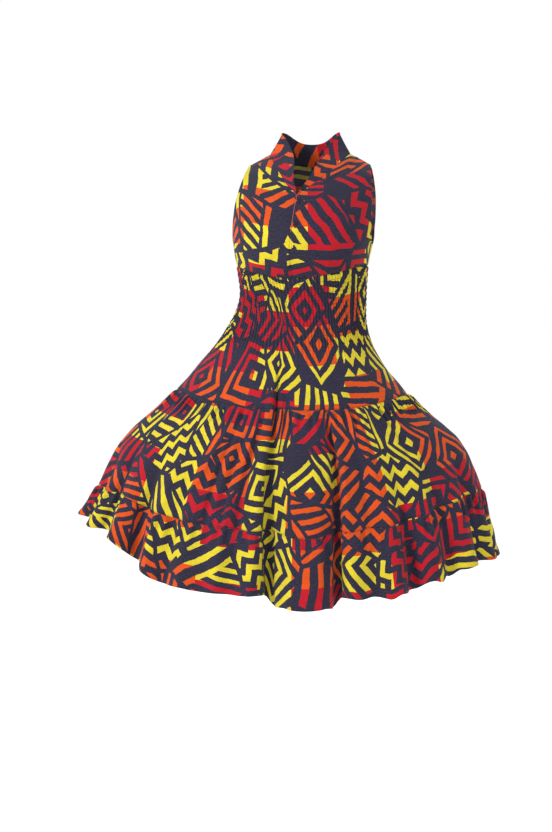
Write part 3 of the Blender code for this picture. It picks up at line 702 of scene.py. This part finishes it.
# Narrow folds: angle at the start and at the hem, first and last drop, half width in
# degrees, and height, below zero for a trough
narrowFolds = [
    (-13.6, -9.3, 0.14, 0.80, 0.95, -0.0170), (-16.2, -12.1, 0.18, 0.80, 1.4, 0.0055),
    (-11.0, -7.1, 0.20, 0.80, 1.3, 0.0040), (11.4, 9.2, 0.22, 0.80, 0.95, -0.0160),
    (14.0, 11.9, 0.26, 0.80, 1.4, 0.0050), (8.2, 6.6, 0.28, 0.80, 1.3, 0.0040),
    (-18.2, -19.4, 0.25, 0.66, 0.80, -0.0060), (-23.0, -24.2, 0.25, 0.62, 0.85, -0.0070),
    (-27.2, -29.6, 0.26, 0.60, 0.80, -0.0060), (-25.1, -27.0, 0.28, 0.58, 1.1, 0.0030),
    (-36.0, -38.4, 0.36, 0.80, 1.6, -0.0055), (-42.5, -44.0, 0.40, 0.80, 1.5, 0.0032),
    (-50.0, -50.4, 0.44, 0.80, 1.5, -0.0095), (-57.0, -57.6, 0.46, 0.80, 1.7, 0.0036),
    (-64.5, -65.2, 0.40, 0.80, 1.6, -0.0060), (-76.0, -77.4, 0.44, 0.80, 1.4, -0.0045),
    (1.5, 0.8, 0.40, 0.80, 2.2, 0.0030), (20.0, 21.2, 0.30, 0.80, 1.6, -0.0045),
    (26.5, 27.4, 0.38, 0.80, 1.7, 0.0035), (32.6, 33.8, 0.44, 0.80, 1.5, -0.0090),
    (40.5, 41.5, 0.40, 0.74, 1.6, 0.0030), (46.6, 48.4, 0.36, 0.80, 1.6, -0.0050),
    (56.0, 57.0, 0.44, 0.80, 1.8, 0.0030), (64.0, 65.6, 0.42, 0.80, 1.5, -0.0045),
    (78.0, 79.0, 0.48, 0.80, 1.5, -0.0035), (100.0, 101.6, 0.34, 0.80, 1.6, -0.0055),
    (109.0, 110.5, 0.30, 0.70, 1.7, 0.0034), (118.0, 119.2, 0.26, 0.80, 1.6, -0.0085),
    (127.5, 128.0, 0.34, 0.80, 1.8, 0.0036), (135.0, 136.6, 0.22, 0.80, 1.5, -0.0070),
    (144.0, 145.0, 0.30, 0.66, 1.5, 0.0030), (152.0, 153.2, 0.18, 0.80, 1.6, -0.0100),
    (161.0, 162.4, 0.28, 0.80, 1.9, 0.0038), (170.0, 171.4, 0.16, 0.80, 1.5, -0.0085),
    (179.0, 178.4, 0.30, 0.72, 1.8, 0.0032), (187.8, 187.0, 0.18, 0.80, 1.5, -0.0090),
    (195.0, 195.6, 0.26, 0.80, 1.7, 0.0035), (204.6, 203.8, 0.20, 0.80, 1.6, -0.0095),
    (213.0, 212.4, 0.32, 0.68, 1.6, 0.0032), (222.6, 221.8, 0.24, 0.80, 1.5, -0.0070),
    (231.0, 230.4, 0.36, 0.80, 1.8, 0.0036), (240.6, 239.8, 0.28, 0.80, 1.6, -0.0080),
    (249.5, 249.0, 0.34, 0.74, 1.6, 0.0030), (258.6, 257.6, 0.36, 0.80, 1.5, -0.0050),
]

frontCreases = [
    (-0.150, -0.560, -0.270, -0.760, 0.006, 0.0045),
    (-0.128, -0.560, -0.200, -0.800, 0.006, -0.0053),
    (-0.100, -0.555, -0.145, -0.700, 0.005, 0.0042),
    (0.060, -0.560, 0.075, -0.760, 0.007, -0.0045),
    (0.110, -0.560, 0.160, -0.740, 0.006, 0.0042),
    (0.170, -0.550, 0.270, -0.720, 0.006, -0.0042),
]
backCreases = [
    (-0.140, -0.560, -0.230, -0.760, 0.007, 0.0048),
    (-0.050, -0.570, -0.080, -0.780, 0.007, -0.0048),
    (0.060, -0.560, 0.105, -0.720, 0.006, 0.0045),
    (0.150, -0.560, 0.250, -0.740, 0.006, -0.0045),
]


def smocking(drop, around, height):
    # upright ribs that each row of elastic holds in and that puff out between the rows
    look = skirtLook
    band = drop / look["elasticPitch"]
    drift = look["ribDrift"] * np.sin(np.floor(band + 0.5) * 2.4 + around * 0.21)
    rib = signedPower(np.cos(np.radians(around) * look["ribs"] * 2 + drift), look["ribRoundness"])
    between = np.abs(np.sin(np.pi * band))
    hold = look["elasticHold"]
    puff = hold + (1 - hold) * between ** look["ribRoundness"]
    loose = np.where(drop > form["smockDrop"], 1.0, puff)
    fade = 1 - ease(drop, form["smockDrop"], form["smockDrop"] + look["ribFade"])
    fade *= ease(drop, 0.0, look["sewnFlat"])
    swell = look["elasticSwell"] * (between - 0.5) * (drop < form["smockDrop"])
    return height * rib * loose * fade + swell


def gathers(drop, around, seam, height, seed):
    # small folds that start just under a seam and run out at uneven lengths
    look = skirtLook
    below = drop - seam
    uneven = 1 + look["reachVaries"] * waves(around, look["reachCounts"], seed + 5)
    fade = ease(below, 0.0, 0.012) * (1 - ease(below, 0.015, look["gatherReach"] * uneven))
    return height * fade * waves(around, look["gatherCounts"], seed)


def narrowFoldHeight(drop, around):
    height = np.zeros_like(drop)
    for atStart, atHem, start, end, halfWidth, ridge in narrowFolds:
        along = (drop - start) / (form["hemDrop"] - start)
        apart = (around - atStart - (atHem - atStart) * along + 180.0) % 360.0 - 180.0
        grown = ease(drop, start, start + skirtLook["foldGrows"])
        grown *= 1 - ease(drop, end - skirtLook["foldEnds"], end)
        height += ridge * grown * np.exp(-((apart / halfWidth) ** 2))
    return height


def skirtRelief(points, normals, drop, around, side):
    look = skirtLook
    facing, creases = (-1, frontCreases) if side == "front" else (1, backCreases)
    relief = gathers(drop, around, form["tierOneDrop"], look["gatherHeights"][0], 3)
    relief += gathers(drop, around, form["tierTwoDrop"], look["gatherHeights"][1], 8)
    relief += smocking(drop, around, look["ribHeight"][side])
    relief += narrowFoldHeight(drop, around)
    relief += creaseHeight(points, normals, creases, facing)
    uneven = look["lumpHeight"] * lumps(points, look["lumpSize"], 21)
    return relief + uneven * ease(drop, *look["lumpDrops"])


# The middle flute's corners hang in a step below its neighbours, at both of its folds:
# angle, half width in degrees, depth, and the angles where the step starts and is full
hemCorners = [(-8.6, 4.2, 0.017, -9.6, -8.6), (8.4, 4.2, 0.016, 9.4, 8.4)]

# Where else the front's hem hangs higher, or lower where the rise is below zero:
# angle, half width in degrees, and rise
hemRises = [
    (-40.0, 9.0, -0.011), (-13.2, 4.5, 0.0045), (13.2, 4.5, 0.0045),
    (28.0, 4.0, 0.009), (38.5, 4.5, 0.013), (48.5, 3.5, -0.010),
]
hemStepsFrom = 0.52


def hemSteps(drop, around):
    height = np.zeros_like(drop)
    for at, halfWidth, depth, start, full in hemCorners:
        height -= depth * bump(around - at, halfWidth) * ease(around, start, full)
    for at, halfWidth, rise in hemRises:
        height += rise * bump(around - at, halfWidth)
    return height * ease(drop, hemStepsFrom, form["hemDrop"])


# The halves of a tier, by the angle round from the front
halves = [("front", -90.0, 90.0), ("back", 90.0, 270.0)]
# For each tier, its first and last drop, the rows of its grid, its flat size, metres of print
# to a metre of its lower edge, and where the print starts on its front and back
tiers = {
    "tier_one": (0.0, form["tierOneDrop"], 84, (0.76, 0.285), 1.12, {"front": 0.45, "back": 1.9}),
    "tier_two": (form["tierOneDrop"], form["tierTwoDrop"], 66, (1.02, 0.295), 1.05,
                 {"front": 0.37, "back": 2.9}),
    "tier_three": (form["tierTwoDrop"], form["hemDrop"], 40, (1.20, 0.165), 1.0,
                   {"front": 0.81, "back": 3.9}),
}


def makeTier(tier, side, start, end):
    look = skirtLook
    top, bottom, rows, flatSize, printStretch, printStart = tiers[tier]
    drop, around = np.meshgrid(np.linspace(top, bottom, rows + 1),
                               np.linspace(start, end, look["columns"] + 1), indexing="ij")
    points = skirtPoints(drop, around)
    if side == "front":
        points[..., 2] += hemSteps(drop, around)
    outward = gridNormals(points)
    fromMiddle = points - points.mean(axis=(0, 1)) * [1, 0, 1]
    outward *= np.sign((outward * fromMiddle).sum(axis=-1).mean())
    relief = skirtRelief(points, outward, drop, around, side)
    left, right, above, below = edgeDistances(points)
    if tier == "tier_one":
        # its top edge is tucked up inside the bodice, so that no light shows at the seam
        points[0] += np.array([0.0, 0.0, look["tuckUp"]]) - outward[0] * look["tuckIn"]
    relief += dip(left, look) + dip(right, look) + dip(above, look)
    lowest = below
    if tier == "tier_three":
        turned = 1 - ease(below, look["hemDepth"] - 0.001, look["hemDepth"])
        relief += look["hemHeight"] * turned
        lowest = np.abs(below - look["hemDepth"] * look["hemStitches"]) + sewnLook["stitchInset"]
    else:
        relief += dip(below, look)
    lowerEdge = (points + outward * relief[..., None])[-1]
    printU = alongCloth(lowerEdge) * printStretch + printStart[side]
    printAt = np.stack([printU * np.ones_like(drop), -drop * look["printDown"]], axis=-1)
    layers = {"print": printAt, "stitches": nearestEdge(left, right, above, lowest)}
    if tier == "tier_one":
        smocked = np.where(drop < form["smockDrop"], 1.0, 0.0)
        layers["elastic"] = np.stack([drop / look["elasticPitch"], smocked], axis=-1)
    name = tier + "_" + side
    panel = clothPanel(name + "_cloth", points, outward, relief, layers, clothMaterials)
    dress(panel, [name])


for tier in tiers:
    for side, start, end in halves:
        makeTier(tier, side, start, end)
print("skirt made")

bodiceLook = {
    "frontGrid": (100, 72),     # rows and columns
    "backGrid": (84, 150),
    "placketWidth": 0.020,
    "placketStitches": 0.92,    # their place, as a share of the placket's width
    "printStart": (0.55, 0.31),
    "backPrintStart": 0.73,
    "buttonInset": 0.0088,
    "buttonholeReach": 0.010,
    "foldShare": 0.0030,        # of the width, the first millimetre of the lapped edge
    "edgeShown": (0.47, 0.68),  # where the red edge of the lapped front turns outwards
    "lumpHeight": 0.0009,
    "lumpSize": 0.045,
    "heldFlat": 0.008,          # creases and lumps run out above the under-bust seam
    "seamWidth": 0.0016,
    "seamDepth": 0.0012,
}

# What a bound edge, the placket, and the front that lies under it add to the relief: a
# height, and the metres from the edge where it starts to run out and ends
edgeFinishes = {
    "bound": (0.0006, 0.005, 0.006),
    "placket": (0.0008, 0.0188, 0.020),
    "under": (-0.0008, 0.002, 0.012),
}

bodiceCreases = [
    (0.020, -0.150, 0.085, -0.168, 0.006, 0.0022),
    (0.062, -0.104, 0.118, -0.142, 0.006, -0.0030),
    (0.070, -0.122, 0.124, -0.166, 0.005, 0.0024),
    (-0.050, -0.150, -0.110, -0.165, 0.006, 0.0020),
    (-0.075, -0.100, -0.130, -0.136, 0.006, -0.0030),
    (-0.082, -0.122, -0.128, -0.162, 0.005, 0.0026),
    (0.015, -0.200, 0.080, -0.250, 0.007, -0.0026),
    (-0.045, -0.205, -0.100, -0.250, 0.007, -0.0024),
    (-0.035, -0.205, -0.045, -0.262, 0.005, 0.0022),
    (0.045, -0.212, 0.050, -0.262, 0.005, 0.0022),
    (0.078, -0.222, 0.092, -0.258, 0.005, -0.0020),
    (-0.078, -0.226, -0.084, -0.258, 0.005, 0.0020),
]
upperBackCreases = [
    (-0.090, -0.070, -0.030, -0.130, 0.008, 0.0028),
    (0.095, -0.075, 0.040, -0.130, 0.008, -0.0028),
    (-0.060, -0.170, -0.110, -0.230, 0.007, -0.0026),
    (0.050, -0.170, 0.105, -0.225, 0.007, 0.0026),
    (0.010, -0.196, 0.024, -0.246, 0.006, 0.0022),
    (-0.030, -0.186, -0.040, -0.244, 0.006, -0.0022),
]


def bodiceRelief(points, normals, creases, facing, edges, finishes):
    # edges are the distances to the left or inner, right or outer, top and bottom edge
    look = bodiceLook
    relief = creaseHeight(points, normals, creases, facing)
    relief += look["lumpHeight"] * lumps(points, look["lumpSize"], 31)
    relief *= ease(edges[-1], 0.0, look["heldFlat"])
    for distance, finish in zip(edges, finishes):
        if finish == "seam":
            relief += dip(distance, look)
        else:
            height, start, end = edgeFinishes[finish]
            relief += height * (1 - ease(distance, start, end))
    return relief


def frontShares(rows):
    # from the shoulder to the point of the V in half of the rows, and on to the seam
    below = rows // 2
    return np.concatenate([np.linspace(1.0, neck["vShare"], rows - below + 1),
                           np.linspace(neck["vShare"], 0.0, below + 1)[1:]])


def outwardOf(points, facing):
    normals = gridNormals(points)
    return normals * np.sign((normals[..., 1] * facing).mean())


buttonSolids = [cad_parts[node] for node in ("button_1", "button_2", "button_3")]


def buttonholesOf(points, inner):
    # metres across and down from the nearest button, over the lapped front
    place = np.full(points.shape[:2] + (2,), layerUnused["buttonholes"])
    for solid in buttonSolids:
        corners = [solid.matrix_world @ Vector(corner) for corner in solid.bound_box]
        middleZ = sum(corner.z for corner in corners) / len(corners)
        down = points[..., 2] - middleZ
        near = np.abs(down) < bodiceLook["buttonholeReach"]
        place[near, 0] = inner[near] - bodiceLook["buttonInset"]
        place[near, 1] = down[near]
    return place


frontMaterials = [outerCotton, innerCotton, edgeCotton, innerCotton]


def makeFront(name, side):
    look = bodiceLook
    rows, columns = look["frontGrid"]
    across = np.concatenate([[0.0], np.linspace(look["foldShare"], 1.0, columns)])
    share, across = np.meshgrid(frontShares(rows), across, indexing="ij")
    points = bodicePoints(frontLevels, -1, share, across, side)
    outward = outwardOf(points, -1)
    edges = edgeDistances(points)
    lapped = side > 0
    finishes = ("placket" if lapped else "under", "bound", "seam", "seam")
    relief = bodiceRelief(points, outward, bodiceCreases, -1, edges, finishes)
    fromMiddle = side * edges[0] + points[:, :1, 0]
    layers = {"print": np.stack([fromMiddle, edges[-1]], axis=-1) + look["printStart"]}
    trimmed = None
    if lapped:
        fold = np.abs(edges[0] - look["placketWidth"] * look["placketStitches"])
        layers["stitches"] = nearestEdge(*edges, fold + sewnLook["stitchInset"])
        layers["buttonholes"] = buttonholesOf(points, edges[0])
        trimmed = np.zeros((rows, columns), int)
        first, last = look["edgeShown"]
        trimmed[int(first * rows):int(last * rows), 0] = 2
    else:
        layers["stitches"] = nearestEdge(*edges)
    panel = clothPanel(name + "_cloth", points, outward, relief, layers, frontMaterials,
                       trimmed=trimmed)
    dress(panel, [name])


makeFront("bodice_front_left", 1.0)
makeFront("bodice_front_right", -1.0)

backHalf = backLevels["halfWidth"][-1]
backNeckAngle = torsoAngle(backHalf, frontLevels["inner"][-1])
backNeckAcross = backNeckAngle / torsoAngle(backHalf, backLevels["outer"][-1])


def backTop(across):
    # the back's upper edge, scooped between the ends of the neckline
    scoop = 1 - np.minimum(np.abs(across) / backNeckAcross, 1.0) ** neck["backScoop"]
    return 1 - (1 - neck["backShare"]) * scoop


def makeBack():
    rows, columns = bodiceLook["backGrid"]
    share, across = np.meshgrid(np.linspace(1.0, 0.0, rows + 1),
                                np.linspace(-1.0, 1.0, columns + 1), indexing="ij")
    share = share * backTop(across)
    points = bodicePoints(backLevels, 1, share, np.abs(across), np.where(across < 0, -1.0, 1.0))
    outward = outwardOf(points, 1)
    edges = edgeDistances(points)
    finishes = ("bound", "bound", "seam", "seam")
    relief = bodiceRelief(points, outward, upperBackCreases, 1, edges, finishes)
    fromMiddle = edges[0] - edges[0][:, columns // 2][:, None]
    printAt = np.stack([fromMiddle + bodiceLook["backPrintStart"], edges[-1]], axis=-1)
    layers = {"print": printAt, "stitches": nearestEdge(*edges)}
    panel = clothPanel("bodice_back_cloth", points, outward, relief, layers, clothMaterials)
    dress(panel, ["bodice_back"])


makeBack()
print("bodice made")

collarLook = {
    "along": [0.0, 0.20, 0.38, 0.54, 0.62, 0.80, 1.0],
    "height": [0.0015, 0.022, 0.040, 0.046, 0.051, 0.050, 0.048],
    "lean": [5.0, 58.0, 65.0, 54.0, 27.0, 20.0, 18.0],
    "thickness": 0.0016,        # two layers of cloth with a light facing
    "halfColumns": 120,
    "rows": 26,
    "tuckedIn": 0.045,          # share of the stand that is sewn in under the neck seam
    "endGap": 0.0008,           # between the middle and each end
    "edgeRoll": 0.0007,
    "edgeWidth": 0.004,
    "lumpHeight": 0.0005,
    "lumpSize": 0.035,
    "seamWidth": 0.0016,
    "seamDepth": 0.0010,
    "printStart": (1.31, 0.02),
}


def collarHalf():
    # the neckline from the point of the V to the centre back, then the stand over it
    look = collarLook
    count = 400
    frontShare = np.linspace(neck["vShare"], 1.0, count)
    backAcross = np.linspace(backNeckAcross, 0.0, count)
    frontEdge = squareBodice(frontLevels, -1, frontShare, np.zeros(count))
    backEdge = squareBodice(backLevels, 1, backTop(backAcross), backAcross)
    seam = np.concatenate([frontEdge, backEdge[1:]])
    along = alongCloth(seam)
    wanted = np.linspace(0.0, 1.0, look["halfColumns"] + 1)
    seam = np.stack([np.interp(wanted, along / along[-1], seam[:, i]) for i in range(3)], axis=-1)
    stand = smoothRead({key: look[key] for key in ("along", "height", "lean")}, wanted)
    inward = unit(np.stack([-np.maximum(seam[:, 0], 1e-5),
                            -np.maximum(seam[:, 1] - form["centreY"], 0.0),
                            np.zeros(len(seam))], axis=-1))
    lean = np.radians(stand["lean"])
    up = inward * np.sin(lean)[:, None] + np.array([0.0, 0.0, 1.0]) * np.cos(lean)[:, None]
    reach = np.linspace(1.0, -look["tuckedIn"], look["rows"] + 1)
    half = seam[None] + up[None] * (reach[:, None] * stand["height"][None])[..., None]
    half[:, 0, 0] += look["endGap"]
    return half


def makeCollar():
    look = collarLook
    half = collarHalf()
    other = (half * np.array([-1.0, 1.0, 1.0]))[:, ::-1]
    points = posed(np.concatenate([half, other[:, 1:]], axis=1))
    outward = gridNormals(points)
    neckMiddle = np.array([0.01, 0.0, 0.0])
    outward *= np.sign((outward * (points - neckMiddle) * [1, 1, 0]).sum(axis=-1).mean())
    left, right, above, below = edgeDistances(points)
    relief = look["lumpHeight"] * lumps(points, look["lumpSize"], 41) + dip(below, look)
    for distance in (left, right, above):
        relief += look["edgeRoll"] * (1 - ease(distance, 0.0, look["edgeWidth"]))
    printAt = np.stack([left, below], axis=-1) + look["printStart"]
    layers = {"print": printAt, "stitches": nearestEdge(left, right, above, below)}
    panel = clothPanel("collar_cloth", points, outward, relief, layers,
                       [outerCotton, outerCotton], look["thickness"])
    dress(panel, ["collar"])


makeCollar()
print("collar made")

buttonLook = {
    "shader": {"IOR": 1.5, "Specular IOR Level": 0.3},
    "colours": ("#07070c", "#15161f"),
    "patchesPerMetre": 420.0,
    "roughness": (0.07, 0.15),  # wiped and rubbed: fine haze in patches
}


# Moulded polyester, polished: near black with a hint of blue and a clear, sharp highlight.
def polishedPolyester():
    look = buttonLook
    material, tree, shader = startMaterial("polishedPolyesterButton", look["shader"])
    spot = addNode(tree, "TexCoord", result=3)
    swirl = addNode(tree, "TexNoise", spot,
                    sockets={"Scale": look["patchesPerMetre"], "Detail": 3.0})
    deeper, paler = [toLinear(colour) for colour in look["colours"]]
    colour = addNode(tree, "Mix", data_type="RGBA", result=2,
                     sockets={0: swirl, 6: deeper, 7: paler})
    tree.links.new(colour, shader.inputs["Base Color"])
    rough = addNode(tree, "MapRange", swirl, 0.3, 0.7, *look["roughness"])
    tree.links.new(rough, shader.inputs["Roughness"])
    return material


buttonPlastic = polishedPolyester()
for solid in buttonSolids:
    for slot in solid.material_slots:
        slot.material = buttonPlastic
print("buttons dressed")

roomLook = {
    "floorHeight": -1.41,
    "floorSize": 40.0,
    "floorColour": "#fdfdfc",
    "floorRoughness": 0.7,
    "floorGlow": 0.045,         # lifts the far floor to the white of the room behind it
    "floorShades": (0.985, 1.0),
    "worldColour": "#ffffff",
    "worldStrength": 0.998,
    "lampTarget": (0.0, 0.0, -0.5),
    # place, size across and power of each lamp
    "lamps": {"keyLight": ((-3.0, -2.4, 1.5), 0.9, 165.0),
              "fillLight": ((2.6, -2.8, 0.6), 0.7, 26.0),
              "backLight": ((0.6, 2.6, 1.6), 1.4, 45.0)},
    "imageHeight": 832,         # pixels
    "focalPixels": 1819.7,
    "cameraPlace": (-0.0638, -4.0, -0.40),
    "cameraTarget": (-0.0638, 0.0, -0.563),
    "sensorWidth": 36.0,
}


# Flat painted studio floor, with a faint roller texture
def palePaint(name, colour):
    shine = {"Roughness": roomLook["floorRoughness"], "Emission Color": colour,
             "Emission Strength": roomLook["floorGlow"]}
    material, tree, shader = startMaterial(name, shine)
    spot = addNode(tree, "TexCoord", result=3)
    roller = addNode(tree, "TexNoise", spot, sockets={"Scale": 3.0, "Detail": 4.0})
    value = addNode(tree, "MapRange", roller, 0.3, 0.7, *roomLook["floorShades"])
    tint = addNode(tree, "HueSaturation", sockets={"Value": value, "Color": colour})
    tree.links.new(tint, shader.inputs["Base Color"])
    return material


bpy.ops.object.select_all(action="DESELECT")
bpy.ops.mesh.primitive_plane_add(size=roomLook["floorSize"],
                                 location=(0, 0, roomLook["floorHeight"]))
floor = bpy.context.object
floor.name = "studio_floor"
bpy.ops.object.transform_apply(location=True, rotation=True, scale=True)
floor.data.materials.append(palePaint("matStudioPaint", toLinear(roomLook["floorColour"])))

world = bpy.data.worlds.new("paleRoom")
world.use_nodes = True
background = world.node_tree.nodes["Background"]
background.inputs["Color"].default_value = toLinear(roomLook["worldColour"])
background.inputs["Strength"].default_value = roomLook["worldStrength"]
bpy.context.scene.world = world


def aimAt(thing, place, target):
    # a lamp and a camera both look along -Z
    thing.rotation_euler = (Vector(target) - Vector(place)).to_track_quat("-Z", "Y").to_euler()


for name, (place, size, power) in roomLook["lamps"].items():
    bpy.ops.object.light_add(type="AREA", location=place)
    lamp = bpy.context.object
    lamp.name = name
    lamp.data.shape = "SQUARE"
    lamp.data.size = size
    lamp.data.energy = power
    aimAt(lamp, place, roomLook["lampTarget"])

bpy.ops.object.camera_add(location=roomLook["cameraPlace"])
camera = bpy.context.object
camera.name = "photoCamera"
aimAt(camera, roomLook["cameraPlace"], roomLook["cameraTarget"])
camera.data.sensor_width = roomLook["sensorWidth"]
camera.data.lens = roomLook["focalPixels"] / roomLook["imageHeight"] * camera.data.sensor_width
bpy.context.scene.camera = camera
bpy.context.scene.view_settings.view_transform = "Standard"
print("room made")
